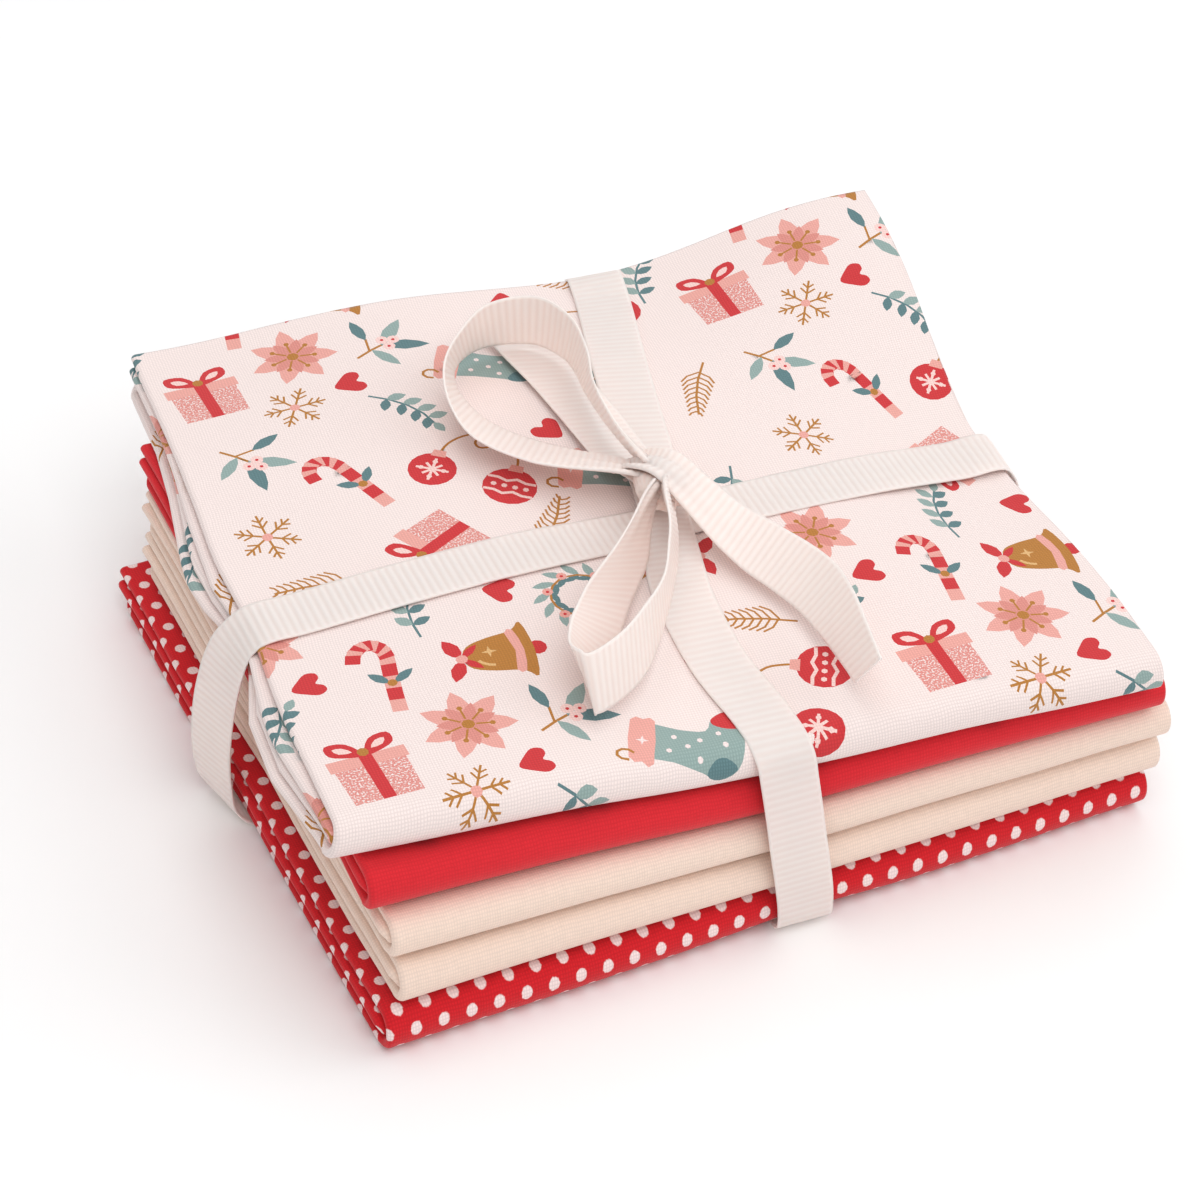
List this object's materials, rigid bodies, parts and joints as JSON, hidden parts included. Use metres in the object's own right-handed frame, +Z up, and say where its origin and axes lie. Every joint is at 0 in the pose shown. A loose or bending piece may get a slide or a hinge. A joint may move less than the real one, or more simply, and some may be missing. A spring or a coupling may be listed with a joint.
{
  "type": "fat quarter bundle",
  "caption": "Folded quilting cottons piled in a bundle and tied both ways with a narrow ribbon that ends in a bow.",
  "frame": {"origin": "middle of the underside of the whole bundle's box, where the bundle rests", "axes": "+X to the right along the folded width, +Y to the back, +Z up through the pile; the big folds of the cloths face -Y"},
  "size_m": [0.1516, 0.1374, 0.0556],
  "materials": {
    "dotted_cotton": "red quilting cotton with small pale dots in staggered rows",
    "cream_cotton": "plain cream quilting cotton",
    "red_cotton": "plain red quilting cotton",
    "printed_cotton": "warm cream quilting cotton printed all over with Christmas motifs in teal, red, pink and ochre",
    "ribbon": "ivory ribbed ribbon, slightly glossy"
  },
  "bodies": {
    "root": {"cloth_dotted": "dotted_cotton", "cloth_cream_lower": "cream_cotton", "cloth_cream_upper": "cream_cotton", "cloth_red": "red_cotton", "cloth_print": "printed_cotton", "ribbon_crosswise": "ribbon", "ribbon_lengthwise": "ribbon", "knot": "ribbon", "loop_back": "ribbon", "loop_front": "ribbon", "tail_front": "ribbon", "tail_back": "ribbon"}
  },
  "joints": []
}
